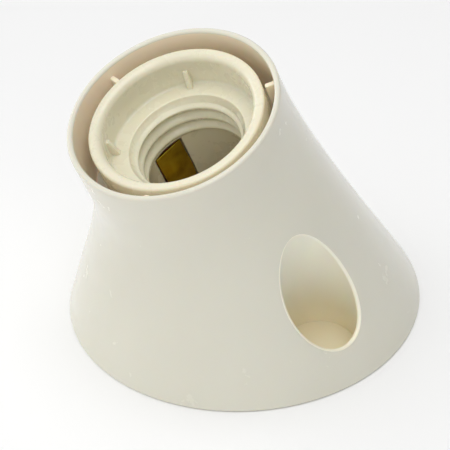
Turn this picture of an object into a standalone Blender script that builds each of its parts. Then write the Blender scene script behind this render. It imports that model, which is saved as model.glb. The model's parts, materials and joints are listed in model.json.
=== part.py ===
"""Angled E27 batten lampholder.

A moulded shell flares from a round base into a tilted round collar.
The collar holds an insert with an Edison thread. Under it hangs an
insulating block with sprung contacts and three screw terminals.

Units are metres, +Z is up and the base stands on z = 0.
The lamp axis leans towards -Y. Pieces along that axis are drawn in the
lamp frame: its origin is the centre of the collar's rim, its +Z points
out of the holder, and depths into the holder are negative.
"""

from math import cos, pi, radians, sin, tan, tau

import bmesh
import bpy
from mathutils import Matrix, Vector

MM = 0.001

# Gap left between pieces that touch
GAP = 0.3 * MM

# Shell: base circle, collar circle and the tilt between them
BASE_RADIUS = 45.0 * MM
COLLAR_RADIUS = 26.0 * MM
COLLAR_CENTRE_Y = -20.0 * MM
COLLAR_CENTRE_Z = 66.0 * MM
LAMP_TILT = radians(20.5)
BASE_WALL = 2.2 * MM
COLLAR_WALL = 1.5 * MM
RIM_ROUNDING = 0.6 * MM

# The insert, the ribs round it and all that hangs under it stand turned by
# this much about the lamp axis
INSERT_TURN = radians(-4.0)

# Flare of the shell: each pair is the mean and the part that follows
# the sine of the angle round the base (most at the back, +Y)
COLLAR_STRAIGHT = (6.5 * MM, -5.0 * MM)
COLLAR_PULL = (22.5 * MM, 6.5 * MM)
BASE_PULL = (15.0 * MM, -12.0 * MM)
BASE_LEAN = radians(16.0)

SHELL_COLUMNS = 56
OUTER_ROWS = 15
INNER_ROWS = 11
RIM_STEPS = 3

# Screw wells, one on each flank. Each stands upright at its floor, to seat
# a screw head, and leans outwards and forwards above the bend, by as much
# as the lamp leans, so that a driver clears the collar
WELL_CENTRE = Vector((33.7 * MM, -7.0 * MM, 20.0 * MM))
WELL_LEAN = LAMP_TILT
WELL_LEAN_ANGLE = radians(-45.0)
WELL_RADIUS = 9.0 * MM
WELL_WALL = 1.6 * MM
WELL_FLOOR = 2.5 * MM
WELL_BEND = 8.0 * MM
WELL_TOP = 52.0 * MM
WELL_SIDES = 40
SLOT_CENTRE = (31.8 * MM, -6.5 * MM)
SLOT_WIDTH = 4.5 * MM
SLOT_LENGTH = 8.0 * MM
SLOT_STEPS = 6
SKIN_INSET = 0.7 * MM

# Seat inside the shell that carries the thread barrel
SEAT_TOP = -18.5 * MM
SEAT_THICKNESS = 2.3 * MM
SEAT_BORE_RADIUS = 15.4 * MM
SEAT_DISC_RADIUS = 36.0 * MM
PILLAR_NOTCH_RADIUS = 3.4 * MM

# Collar ribs
COLLAR_RIB_ANGLES = (60.0, 180.0, 300.0)
COLLAR_RIB_WIDTH = 1.3 * MM
COLLAR_RIB_INNER = 22.0 * MM
COLLAR_RIB_TOP = -3.2 * MM

# Thread barrel
RING_OUTER = 21.5 * MM
RING_INNER = 18.5 * MM
RING_TOP = -2.3 * MM
RING_OUTER_ROUNDING = 0.7 * MM
RING_INNER_ROUNDING = 1.8 * MM
RING_STEPS = 3
LEDGE_DEPTH = -11.2 * MM
LEDGE_FILLET = 0.8 * MM
LEDGE_STEPS = 2
THREAD_MOUTH_RADIUS = 14.3 * MM
THREAD_START = -12.6 * MM
THREAD_END = -22.9 * MM
THREAD_PITCH = 3.629 * MM
THREAD_CREST = 12.4 * MM
THREAD_ROOT = 13.5 * MM
THREAD_CREST_DEPTH = -13.9 * MM
THREAD_CREST_ANGLE = radians(130.0)
THREAD_RUN_OUT = 0.3 * THREAD_PITCH
THREAD_ROWS = 24
BORE_RADIUS = 13.5 * MM
TUBE_OUTER = 15.0 * MM
BARREL_BOTTOM = -38.0 * MM
BARREL_COLUMNS = 48
RECESS_RIB_ANGLES = (45.0, 135.0, 225.0, 315.0)
RECESS_RIB_WIDTH = 1.3 * MM
RECESS_RIB_REACH = 2.3 * MM
RECESS_RIB_TOP = -6.6 * MM
RECESS_RIB_TOP_REACH = 0.6 * MM
PILLAR_RADIUS = 3.0 * MM
PILLAR_OFFSET = 17.6 * MM
PILLAR_HOLE_RADIUS = 1.55 * MM
PILLAR_HOLE_TOP = -27.5 * MM
SEAT_SCREW_HOLE_TOP = -13.2 * MM
SEAT_SCREW_HOLE_RADIUS = 1.35 * MM
WINDOW_HALF_WIDTH = 4.5 * MM
WINDOW_TOP = -22.8 * MM
WINDOW_INNER_X = -6.2 * MM

# Contact block, under the barrel
BLOCK_TOP = BARREL_BOTTOM - GAP
BLOCK_BOTTOM = -49.0 * MM
BLOCK_HALF_X = 17.0 * MM
BLOCK_HALF_Y = 21.6 * MM
BLOCK_CORNER = 6.0 * MM
BLOCK_SCREW_HOLE = 1.9 * MM
SIDE_NOTCH_FLOOR_X = -12.4 * MM
SIDE_NOTCH_HALF_WIDTH = 5.2 * MM
LEAF_POCKET_DEPTH = 2.6 * MM
LEAF_POCKET_START_X = -7.0 * MM
LEAF_POCKET_SIDE_ROOM = 0.8 * MM
LEAF_LAND_START_X = 6.0 * MM
LEAF_LAND_END_X = 11.0 * MM
SIDE_RIVET_HOLE_END_X = -8.2 * MM

# Contacts: leaves of spring brass, each held by a rivet at its pivot. Shares
# are of a leaf's free length
LEAF_THICKNESS = 0.5 * MM
LEAF_STEPS = 10
SIDE_LEAF_WIDTH = 8.0 * MM
SIDE_LEAF_TOP = -23.4 * MM
SIDE_LEAF_PIVOT = (-13.25 * MM, -42.0 * MM)
SIDE_LEAF_TAIL = 2.2 * MM
SIDE_LEAF_BEND = -38.6 * MM
SIDE_LEAF_BOW = 0.75 * MM
SIDE_LEAF_BOW_SPAN = 0.87
CENTRE_LEAF_WIDTH = 6.0 * MM
CENTRE_LEAF_PIVOT = (7.5 * MM, -38.9 * MM)
CENTRE_LEAF_TAIL = 2.4 * MM
CENTRE_LEAF_FLAT = 2.6 * MM
CENTRE_LEAF_REACH = 7.4 * MM
CENTRE_LEAF_CROWN = -35.2 * MM
CENTRE_LEAF_CROWN_START = 0.77
CENTRE_LEAF_TIP_DROP = 1.2 * MM
CENTRE_LEAF_TIP_START = 0.75
RIVET_HEAD = 2.2 * MM
RIVET_SHANK = 1.2 * MM
RIVET_DOME = 0.8 * MM
RIVET_DOME_STEPS = (0.4, 0.8, 1.0)
RIVET_DOME_TURN = radians(81.0)
RIVET_FLAT = 0.7 * MM
SIDE_RIVET_END_X = -8.8 * MM
# Room under the centre rivet's head, in which the leaf rocks
LEAF_PLAY = 0.45 * MM

# Terminals: a plate, a clamp washer and a screw each
PLATE_TOP = BLOCK_BOTTOM - GAP
PLATE_THICKNESS = 0.8 * MM
PLATE_BOTTOM = PLATE_TOP - PLATE_THICKNESS
TERMINAL_HOLE = 1.95 * MM
WASHER_SIZE = 8.0 * MM
WASHER_THICKNESS = 1.0 * MM
WASHER_LIP = 0.7 * MM
SCREW_SHANK = 1.7 * MM
SCREW_HEAD_RADIUS = 2.5 * MM
SCREW_HEAD_HEIGHT = 2.1 * MM
SCREW_SLOT_WIDTH = 0.9 * MM
SCREW_SLOT_DEPTH = 1.0 * MM
# Pan head: each pair is a share of its radius and a share of its height
SCREW_HEAD_PROFILE = ((0.62, 0.0), (0.90, 0.17), (1.0, 0.43), (1.0, 1.0))
SCREW_TIP_SHARE = 0.7
TERMINAL_BORE_TOP = -42.8 * MM
SCREW_TIP = -43.4 * MM
TERMINALS = {
    "live": (9.0 * MM, 9.0 * MM),
    "neutral": (-8.5 * MM, -9.0 * MM),
    "loop": (9.0 * MM, -9.0 * MM),
}
LOOP_RIVET = (9.0 * MM, -15.6 * MM)
SIDE_TAB_INNER_X = -13.8 * MM
SIDE_TAB_OUTER_X = -14.6 * MM
SIDE_TAB_HALF_WIDTH = 3.0 * MM
SIDE_TAB_RISE = 2.8 * MM
PLATE_EXTENTS = {
    "live": ((4.6 * MM, -2.9 * MM), (13.4 * MM, 13.4 * MM)),
    "neutral": ((SIDE_TAB_OUTER_X, -13.4 * MM), (-4.1 * MM, 3.0 * MM)),
    "loop": ((4.6 * MM, -18.2 * MM), (13.4 * MM, -4.6 * MM)),
}

# Fixing screws: two hold the barrel to the seat, two the block to the barrel
SCREW_POINT = 0.5 * MM
BARREL_SCREW_SHANK = 1.15 * MM
BARREL_SCREW_HEAD = 2.6 * MM
BLOCK_SCREW_SHANK = 1.25 * MM
BLOCK_SCREW_HEAD = 2.8 * MM
BLOCK_SCREW_TIP_ROOM = 2.0 * MM

ROUND_SIDES = 24
SCREW_SIDES = 20
SMALL_SIDES = 16
SMOOTH_ANGLE = radians(40.0)

COLOURS = {
    "cream_plastic": ((0.80, 0.76, 0.64), 0.25, 0.0),
    "cream_insert": ((0.82, 0.77, 0.66), 0.30, 0.0),
    "tan_moulding": ((0.42, 0.31, 0.20), 0.45, 0.0),
    "contact_brass": ((0.45, 0.34, 0.12), 0.32, 1.0),
    "terminal_brass": ((0.66, 0.50, 0.22), 0.30, 1.0),
    "plated_steel": ((0.62, 0.62, 0.60), 0.32, 1.0),
}


# ---------------------------------------------------------------- scene

def clear_scene():
    for obj in list(bpy.data.objects):
        bpy.data.objects.remove(obj, do_unlink=True)


def new_collection(name):
    collection = bpy.data.collections.new(name)
    bpy.context.scene.collection.children.link(collection)
    return collection


clear_scene()
PARTS = new_collection("angled_batten_lampholder")
CUTTERS = new_collection("cutters")
COLLAR_FRAME = (
    Matrix.Translation((0.0, COLLAR_CENTRE_Y, COLLAR_CENTRE_Z))
    @ Matrix.Rotation(LAMP_TILT, 4, "X")
)
LAMP_FRAME = COLLAR_FRAME @ Matrix.Rotation(INSERT_TURN, 4, "Z")


def make_materials():
    made = {}
    for name, (colour, roughness, metallic) in COLOURS.items():
        material = bpy.data.materials.new(name)
        material.use_nodes = True
        shader = material.node_tree.nodes["Principled BSDF"]
        shader.inputs["Base Color"].default_value = (*colour, 1.0)
        shader.inputs["Roughness"].default_value = roughness
        shader.inputs["Metallic"].default_value = metallic
        made[name] = material
    return made


MATERIALS = make_materials()


def lamp_axis_empty():
    empty = bpy.data.objects.new("lamp_axis", None)
    PARTS.objects.link(empty)
    empty.matrix_basis = LAMP_FRAME
    return empty


LAMP_AXIS = lamp_axis_empty()


def object_from_bmesh(name, bm, collection):
    bmesh.ops.recalc_face_normals(bm, faces=bm.faces[:])
    mesh = bpy.data.meshes.new(name)
    bm.to_mesh(mesh)
    bm.free()
    obj = bpy.data.objects.new(name, mesh)
    collection.objects.link(obj)
    return obj


def add_node(name, bm, material):
    """A sub-part in world coordinates."""
    obj = object_from_bmesh(name, bm, PARTS)
    obj.data.materials.append(MATERIALS[material])
    return obj


def add_lamp_node(name, bm, material, pivot=(0.0, 0.0, 0.0)):
    """A sub-part drawn in the lamp frame, with its origin at pivot."""
    bmesh.ops.translate(bm, verts=bm.verts[:], vec=-Vector(pivot))
    obj = add_node(name, bm, material)
    obj.parent = LAMP_AXIS
    obj.location = pivot
    return obj


def add_cutter(name, bm, in_lamp_frame=True):
    obj = object_from_bmesh(name, bm, CUTTERS)
    obj.hide_render = True
    obj.display_type = "WIRE"
    if in_lamp_frame:
        obj.parent = LAMP_AXIS
    return obj


def boolean(obj, tool, operation):
    modifier = obj.modifiers.new(tool.name, "BOOLEAN")
    modifier.operation = operation
    modifier.solver = "EXACT"
    modifier.object = tool


def cut(obj, tool):
    boolean(obj, tool, "DIFFERENCE")


def join(obj, tool):
    boolean(obj, tool, "UNION")


def keep_inside(obj, tool):
    boolean(obj, tool, "INTERSECT")


def shade(obj):
    obj.data.shade_smooth()
    obj.data.set_sharp_from_angle(angle=SMOOTH_ANGLE)


# ---------------------------------------------------------------- shapes

def cylinder(radius, bottom, top, centre=(0.0, 0.0), sides=ROUND_SIDES):
    bm = bmesh.new()
    place = Matrix.Translation((centre[0], centre[1], (bottom + top) / 2))
    bmesh.ops.create_cone(
        bm, cap_ends=True, segments=sides, radius1=radius, radius2=radius,
        depth=top - bottom, matrix=place)
    return bm


def box(low, high):
    bm = bmesh.new()
    size = [high[i] - low[i] for i in range(3)]
    centre = [(high[i] + low[i]) / 2 for i in range(3)]
    matrix = Matrix.Translation(centre) @ Matrix.Diagonal((*size, 1.0))
    bmesh.ops.create_cube(bm, size=1.0, matrix=matrix)
    return bm


def prism(outline, direction):
    """Solid between a flat outline and the same outline moved along direction."""
    bm = bmesh.new()
    face = bm.faces.new([bm.verts.new(point) for point in outline])
    swept = bmesh.ops.extrude_face_region(bm, geom=[face])["geom"]
    moved = [item for item in swept if isinstance(item, bmesh.types.BMVert)]
    bmesh.ops.translate(bm, verts=moved, vec=direction)
    return bm


def ring_grid(rings, closed=False):
    """Skin over rings of equal length; a closed grid joins last ring to first."""
    bm = bmesh.new()
    rows = [[bm.verts.new(point) for point in ring] for ring in rings]
    pairs = list(zip(rows, rows[1:]))
    if closed:
        pairs.append((rows[-1], rows[0]))
    for lower, upper in pairs:
        count = len(lower)
        for i in range(count):
            j = (i + 1) % count
            bm.faces.new((lower[i], lower[j], upper[j], upper[i]))
    if not closed:
        bm.faces.new(rows[0])
        bm.faces.new(rows[-1])
    return bm


def angles_round(count):
    return [tau * i / count for i in range(count)]


def turned(profile, sides=ROUND_SIDES):
    """Solid of revolution about Z from (radius, height) points, capped flat."""
    rings = []
    for radius, height in profile:
        rings.append([(radius * cos(a), radius * sin(a), height) for a in angles_round(sides)])
    return ring_grid(rings)


def arc(centre, radius, start, end, steps):
    """Points along an arc in a (radius, height) profile, angles in degrees."""
    points = []
    for i in range(steps + 1):
        angle = radians(start + (end - start) * i / steps)
        points.append((centre[0] + radius * cos(angle), centre[1] + radius * sin(angle)))
    return points


def rounded_rectangle(half_x, half_y, corner, height, steps=4):
    points = []
    for sign_x, sign_y, start in ((1, 1, 0), (-1, 1, 90), (-1, -1, 180), (1, -1, 270)):
        centre = (sign_x * (half_x - corner), sign_y * (half_y - corner))
        for x, y in arc(centre, corner, start, start + 90, steps):
            points.append((x, y, height))
    return points


# ---------------------------------------------------------------- shell

def bezier(p0, p1, p2, p3, t):
    s = 1.0 - t
    return s ** 3 * p0 + 3 * s * s * t * p1 + 3 * s * t * t * p2 + t ** 3 * p3


def flare_column(angle, inset, wall_scale=1.0):
    """Control points of the flare at one angle, moved in by an inset.

    The wall scale makes the inset smaller at the collar than at the base.
    """
    swing = sin(angle)
    outward = Vector((cos(angle), sin(angle), 0.0))
    collar_out = COLLAR_FRAME.to_3x3() @ outward
    axis = COLLAR_FRAME.to_3x3() @ Vector((0.0, 0.0, 1.0))
    foot = (BASE_RADIUS - inset) * outward
    collar_inset = inset * wall_scale
    rim = COLLAR_FRAME.translation + (COLLAR_RADIUS - collar_inset) * collar_out
    straight = COLLAR_STRAIGHT[0] + COLLAR_STRAIGHT[1] * swing
    collar_pull = COLLAR_PULL[0] + COLLAR_PULL[1] * swing
    base_pull = BASE_PULL[0] + BASE_PULL[1] * swing
    rise = Vector((0.0, 0.0, cos(BASE_LEAN))) - sin(BASE_LEAN) * outward
    neck = rim - straight * axis
    return foot, foot + base_pull * rise, neck - collar_pull * axis, neck, rim


def flare_ring(t, inset, wall_scale=1.0):
    ring = []
    for angle in angles_round(SHELL_COLUMNS):
        foot, low, high, neck, rim = flare_column(angle, inset, wall_scale)
        ring.append(bezier(foot, low, high, neck, t))
    return ring


def collar_ring(radius, height):
    ring = []
    for angle in angles_round(SHELL_COLUMNS):
        local = Vector((radius * cos(angle), radius * sin(angle), height))
        ring.append(COLLAR_FRAME @ local)
    return ring


def rim_profile():
    """The rounded top edge of the collar, from the outside to the inside."""
    outer_centre = (COLLAR_RADIUS - RIM_ROUNDING, -RIM_ROUNDING)
    inner_centre = (COLLAR_RADIUS - COLLAR_WALL + RIM_ROUNDING, -RIM_ROUNDING)
    outer = arc(outer_centre, RIM_ROUNDING, 0, 90, RIM_STEPS)
    inner = arc(inner_centre, RIM_ROUNDING, 90, 180, RIM_STEPS)
    return outer + inner


def shell_skin():
    wall_scale = COLLAR_WALL / BASE_WALL
    rings = [flare_ring(i / OUTER_ROWS, 0.0) for i in range(OUTER_ROWS + 1)]
    rings += [collar_ring(radius, height) for radius, height in rim_profile()]
    for i in range(INNER_ROWS + 1):
        rings.append(flare_ring(1.0 - i / INNER_ROWS, BASE_WALL, wall_scale))
    return ring_grid(rings, closed=True)


def skin_limit():
    """Solid just under the shell's outer skin, for trimming inner features."""
    rings = [flare_ring(i / OUTER_ROWS, SKIN_INSET) for i in range(OUTER_ROWS + 1)]
    rings[0] = [point + Vector((0.0, 0.0, GAP)) for point in rings[0]]
    rings.append(collar_ring(COLLAR_RADIUS - SKIN_INSET, -RIM_ROUNDING))
    return ring_grid(rings)


def well_ring(side, radius, height):
    """Level section of a well: an ellipse, as a slanting round bore gives."""
    lean = Vector((cos(WELL_LEAN_ANGLE), sin(WELL_LEAN_ANGLE)))
    across = Vector((-lean.y, lean.x))
    drift = (max(height, WELL_BEND) - WELL_CENTRE.z) * tan(WELL_LEAN)
    centre = WELL_CENTRE.xy + drift * lean
    ring = []
    for angle in angles_round(WELL_SIDES):
        along = radius / cos(WELL_LEAN) * cos(angle)
        point = centre + along * lean + radius * sin(angle) * across
        ring.append((side * point.x, point.y, height))
    return ring


def well_column(side, radius, bottom):
    heights = (bottom, WELL_BEND, WELL_TOP)
    return ring_grid([well_ring(side, radius, height) for height in heights])


def slot_column(side):
    """Upright slot through a well's floor, round-ended, along X."""
    end = (SLOT_LENGTH - SLOT_WIDTH) / 2
    half = SLOT_WIDTH / 2
    outline = arc((end, 0.0), half, -90, 90, SLOT_STEPS)
    outline += arc((-end, 0.0), half, 90, 270, SLOT_STEPS)
    points = [(side * SLOT_CENTRE[0] + x, SLOT_CENTRE[1] + y, -BASE_WALL) for x, y in outline]
    return prism(points, (0.0, 0.0, WELL_FLOOR + 2 * BASE_WALL))


def radial_box(angle, inner, outer, width, bottom, top):
    bm = box((inner, -width / 2, bottom), (outer, width / 2, top))
    bmesh.ops.rotate(bm, verts=bm.verts[:], matrix=Matrix.Rotation(radians(angle), 3, "Z"))
    return bm


def make_shell():
    shell = add_node("outer_shell", shell_skin(), "cream_plastic")
    limit = add_cutter("skin_limit", skin_limit(), in_lamp_frame=False)

    seat = add_cutter("seat", cylinder(
        SEAT_DISC_RADIUS, SEAT_TOP - SEAT_THICKNESS, SEAT_TOP, sides=SHELL_COLUMNS))
    keep_inside(seat, limit)
    join(shell, seat)

    for index, angle in enumerate(COLLAR_RIB_ANGLES):
        rib = add_cutter(f"collar_rib_{index}", radial_box(
            angle, COLLAR_RIB_INNER, COLLAR_RADIUS - COLLAR_WALL / 2,
            COLLAR_RIB_WIDTH, SEAT_TOP - SEAT_THICKNESS / 2, COLLAR_RIB_TOP))
        join(shell, rib)

    for side in (-1, 1):
        well = add_cutter(f"well_{side}", well_column(
            side, WELL_RADIUS + WELL_WALL, -BASE_WALL), in_lamp_frame=False)
        keep_inside(well, limit)
        join(shell, well)
    for side in (-1, 1):
        bore = add_cutter(f"well_bore_{side}", well_column(
            side, WELL_RADIUS, WELL_FLOOR), in_lamp_frame=False)
        cut(shell, bore)
        slot = add_cutter(f"well_slot_{side}", slot_column(side), in_lamp_frame=False)
        cut(shell, slot)

    seat_bore = add_cutter("seat_bore", cylinder(
        SEAT_BORE_RADIUS, SEAT_TOP - 2 * SEAT_THICKNESS, SEAT_TOP + SEAT_THICKNESS,
        sides=BARREL_COLUMNS))
    cut(shell, seat_bore)
    for sign in (-1, 1):
        notch = add_cutter(f"pillar_notch_{sign}", cylinder(
            PILLAR_NOTCH_RADIUS, SEAT_TOP - 2 * SEAT_THICKNESS, SEAT_TOP + SEAT_THICKNESS,
            centre=(0.0, sign * PILLAR_OFFSET)))
        cut(shell, notch)
        hole = add_cutter(f"seat_screw_hole_{sign}", cylinder(
            SEAT_SCREW_HOLE_RADIUS + GAP, SEAT_TOP - 2 * SEAT_THICKNESS,
            SEAT_TOP + SEAT_THICKNESS, centre=(sign * PILLAR_OFFSET, 0.0), sides=SMALL_SIDES))
        cut(shell, hole)
    shade(shell)


# ---------------------------------------------------------------- barrel

def thread_radius(angle, depth):
    """Edison thread: rounded, right-handed, faded into plain walls at its ends."""
    turns = (depth - THREAD_CREST_DEPTH) / THREAD_PITCH
    turns -= (angle - THREAD_CREST_ANGLE) / tau
    wave = (1.0 + cos(tau * turns)) / 2
    fade_in = min(1.0, max(0.0, (THREAD_START - depth) / THREAD_RUN_OUT))
    fade_out = min(1.0, max(0.0, (depth - THREAD_END) / THREAD_RUN_OUT))
    fade = fade_in * fade_out
    return THREAD_ROOT - (THREAD_ROOT - THREAD_CREST) * wave * fade


def barrel_rings():
    top_centre_out = (RING_OUTER - RING_OUTER_ROUNDING, RING_TOP - RING_OUTER_ROUNDING)
    top_centre_in = (RING_INNER + RING_INNER_ROUNDING, RING_TOP - RING_INNER_ROUNDING)
    ledge_centre = (RING_INNER - LEDGE_FILLET, LEDGE_DEPTH + LEDGE_FILLET)
    plain = [(BORE_RADIUS, BARREL_BOTTOM), (TUBE_OUTER, BARREL_BOTTOM)]
    plain += [(TUBE_OUTER, SEAT_TOP + GAP), (RING_OUTER, SEAT_TOP + GAP)]
    plain += arc(top_centre_out, RING_OUTER_ROUNDING, 0, 90, RING_STEPS)
    plain += arc(top_centre_in, RING_INNER_ROUNDING, 90, 180, RING_STEPS)
    plain += arc(ledge_centre, LEDGE_FILLET, 0, -90, LEDGE_STEPS)
    plain += [(THREAD_MOUTH_RADIUS, LEDGE_DEPTH)]
    rings = []
    angles = angles_round(BARREL_COLUMNS)
    for radius, depth in plain:
        rings.append([(radius * cos(a), radius * sin(a), depth) for a in angles])
    for row in range(THREAD_ROWS + 1):
        depth = THREAD_START + (THREAD_END - THREAD_START) * row / THREAD_ROWS
        ring = []
        for angle in angles:
            radius = thread_radius(angle, depth)
            ring.append((radius * cos(angle), radius * sin(angle), depth))
        rings.append(ring)
    return rings


def make_barrel():
    barrel = add_lamp_node("thread_barrel", ring_grid(barrel_rings(), closed=True), "cream_insert")
    for index, angle in enumerate(RECESS_RIB_ANGLES):
        radius_in = RING_INNER - RECESS_RIB_REACH
        radius_out = (RING_INNER + RING_OUTER) / 2
        foot = LEDGE_DEPTH - LEDGE_FILLET
        outline = [(radius_in, -RECESS_RIB_WIDTH / 2, foot),
                   (radius_out, -RECESS_RIB_WIDTH / 2, foot),
                   (radius_out, -RECESS_RIB_WIDTH / 2, RECESS_RIB_TOP),
                   (RING_INNER - RECESS_RIB_TOP_REACH, -RECESS_RIB_WIDTH / 2, RECESS_RIB_TOP)]
        bm = prism(outline, (0.0, RECESS_RIB_WIDTH, 0.0))
        turn = Matrix.Rotation(radians(angle), 3, "Z")
        bmesh.ops.rotate(bm, verts=bm.verts[:], matrix=turn)
        join(barrel, add_cutter(f"recess_rib_{index}", bm))
    for sign in (-1, 1):
        overlap = (LEDGE_DEPTH + SEAT_TOP) / 2
        pillar = add_cutter(f"pillar_{sign}", cylinder(
            PILLAR_RADIUS, BARREL_BOTTOM, overlap, centre=(0.0, sign * PILLAR_OFFSET)))
        join(barrel, pillar)
    for sign in (-1, 1):
        hole = add_cutter(f"pillar_hole_{sign}", cylinder(
            PILLAR_HOLE_RADIUS, BARREL_BOTTOM - PILLAR_RADIUS, PILLAR_HOLE_TOP,
            centre=(0.0, sign * PILLAR_OFFSET), sides=SMALL_SIDES))
        cut(barrel, hole)
        hole = add_cutter(f"ring_screw_hole_{sign}", cylinder(
            SEAT_SCREW_HOLE_RADIUS, SEAT_TOP - PILLAR_RADIUS, SEAT_SCREW_HOLE_TOP,
            centre=(sign * PILLAR_OFFSET, 0.0), sides=SMALL_SIDES))
        cut(barrel, hole)
    window = add_cutter("contact_window", box(
        (-TUBE_OUTER - BASE_WALL, -WINDOW_HALF_WIDTH, BARREL_BOTTOM - BASE_WALL),
        (WINDOW_INNER_X, WINDOW_HALF_WIDTH, WINDOW_TOP)))
    cut(barrel, window)
    shade(barrel)


# ---------------------------------------------------------------- block

def make_block():
    outline = rounded_rectangle(BLOCK_HALF_X, BLOCK_HALF_Y, BLOCK_CORNER, BLOCK_BOTTOM)
    block = add_lamp_node(
        "contact_block", prism(outline, (0.0, 0.0, BLOCK_TOP - BLOCK_BOTTOM)), "tan_moulding")
    notch = add_cutter("side_notch", box(
        (-BLOCK_HALF_X - BASE_WALL, -SIDE_NOTCH_HALF_WIDTH, BLOCK_BOTTOM - BASE_WALL),
        (SIDE_NOTCH_FLOOR_X, SIDE_NOTCH_HALF_WIDTH, BLOCK_TOP + BASE_WALL)))
    cut(block, notch)
    pocket_half = CENTRE_LEAF_WIDTH / 2 + LEAF_POCKET_SIDE_ROOM
    pocket = add_cutter("leaf_pocket", box(
        (LEAF_POCKET_START_X, -pocket_half, BLOCK_TOP - LEAF_POCKET_DEPTH),
        (LEAF_LAND_START_X, pocket_half, BLOCK_TOP + BASE_WALL)))
    cut(block, pocket)
    land = CENTRE_LEAF_PIVOT[1] - LEAF_THICKNESS / 2 - GAP
    land_room = add_cutter("leaf_land_room", box(
        (LEAF_LAND_START_X - LEAF_POCKET_SIDE_ROOM, -pocket_half, land),
        (LEAF_LAND_END_X, pocket_half, BLOCK_TOP + BASE_WALL)))
    cut(block, land_room)
    for sign in (-1, 1):
        hole = add_cutter(f"block_screw_hole_{sign}", cylinder(
            BLOCK_SCREW_HOLE, BLOCK_BOTTOM - BASE_WALL, BLOCK_TOP + BASE_WALL,
            centre=(0.0, sign * PILLAR_OFFSET), sides=SMALL_SIDES))
        cut(block, hole)
    for name, (x, y) in TERMINALS.items():
        bore = add_cutter(f"{name}_bore", cylinder(
            TERMINAL_HOLE + GAP, BLOCK_BOTTOM - BASE_WALL, TERMINAL_BORE_TOP,
            centre=(x, y), sides=SMALL_SIDES))
        cut(block, bore)
    centre_hole = add_cutter("centre_rivet_hole", cylinder(
        RIVET_SHANK + GAP, BLOCK_BOTTOM - BASE_WALL, BLOCK_TOP + BASE_WALL,
        centre=(CENTRE_LEAF_PIVOT[0], 0.0), sides=SMALL_SIDES))
    cut(block, centre_hole)
    loop_hole = add_cutter("loop_rivet_hole", cylinder(
        RIVET_SHANK + GAP, BLOCK_BOTTOM - BASE_WALL, TERMINAL_BORE_TOP,
        centre=LOOP_RIVET, sides=SMALL_SIDES))
    cut(block, loop_hole)
    side_hole = add_cutter("side_rivet_hole", side_cylinder(
        RIVET_SHANK + GAP, -BLOCK_HALF_X - BASE_WALL, SIDE_RIVET_HOLE_END_X))
    cut(block, side_hole)
    shade(block)


def side_cylinder(radius, start_x, end_x):
    """Cylinder along the lamp frame's X at the side contact's rivet."""
    bm = cylinder(radius, start_x, end_x, sides=SMALL_SIDES)
    bmesh.ops.rotate(bm, verts=bm.verts[:], matrix=Matrix.Rotation(pi / 2, 3, "Y"))
    bmesh.ops.translate(bm, verts=bm.verts[:], vec=(0.0, 0.0, SIDE_LEAF_PIVOT[1]))
    return bm


# ---------------------------------------------------------------- contacts

def strip(centre_line, thickness, width):
    """Bent sheet strip: a centre line in X and Z made thick, then as wide as Y."""
    left = []
    right = []
    last = len(centre_line) - 1
    for i, (x, z) in enumerate(centre_line):
        before = centre_line[max(i - 1, 0)]
        after = centre_line[min(i + 1, last)]
        run = Vector((after[0] - before[0], after[1] - before[1])).normalized()
        normal = Vector((-run.y, run.x)) * thickness / 2
        left.append((x + normal.x, -width / 2, z + normal.y))
        right.append((x - normal.x, -width / 2, z - normal.y))
    return prism(left + right[::-1], (0.0, width, 0.0))


def make_side_contact():
    """Sprung leaf in the barrel's window, bowed in towards the lamp cap."""
    root_x, root_z = SIDE_LEAF_PIVOT
    line = [(root_x, root_z - SIDE_LEAF_TAIL), (root_x, root_z), (root_x, SIDE_LEAF_BEND)]
    length = SIDE_LEAF_TOP - SIDE_LEAF_BEND
    for i in range(1, LEAF_STEPS + 1):
        part = i / LEAF_STEPS
        bow = SIDE_LEAF_BOW * sin(pi * min(1.0, part / SIDE_LEAF_BOW_SPAN)) ** 2
        line.append((root_x + bow, SIDE_LEAF_BEND + length * part))
    bm = strip(line, LEAF_THICKNESS, SIDE_LEAF_WIDTH)
    leaf = add_lamp_node("side_contact", bm, "contact_brass", pivot=(root_x, 0.0, root_z))
    hole = add_cutter("side_leaf_hole", side_cylinder(
        RIVET_SHANK + GAP, -BLOCK_HALF_X, -THREAD_CREST))
    cut(leaf, hole)
    shade(leaf)


def make_centre_contact():
    """Sprung leaf that rises from its rivet to the middle of the bore."""
    root_x, root_z = CENTRE_LEAF_PIVOT
    bend_x = root_x - CENTRE_LEAF_FLAT
    line = [(root_x + CENTRE_LEAF_TAIL, root_z), (root_x, root_z), (bend_x, root_z)]
    for i in range(1, LEAF_STEPS + 1):
        part = i / LEAF_STEPS
        climb = min(1.0, part / CENTRE_LEAF_CROWN_START)
        rise = (CENTRE_LEAF_CROWN - root_z) * sin(pi / 2 * climb)
        tip = max(0.0, part - CENTRE_LEAF_TIP_START) / (1.0 - CENTRE_LEAF_TIP_START)
        drop = CENTRE_LEAF_TIP_DROP * tip
        line.append((bend_x - CENTRE_LEAF_REACH * part, root_z + rise - drop))
    bm = strip(line, LEAF_THICKNESS, CENTRE_LEAF_WIDTH)
    leaf = add_lamp_node("centre_contact", bm, "contact_brass", pivot=(root_x, 0.0, root_z))
    hole = add_cutter("centre_leaf_hole", cylinder(
        RIVET_SHANK + GAP, root_z - BASE_WALL, root_z + BASE_WALL,
        centre=(root_x, 0.0), sides=SMALL_SIDES))
    cut(leaf, hole)
    shade(leaf)


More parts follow.
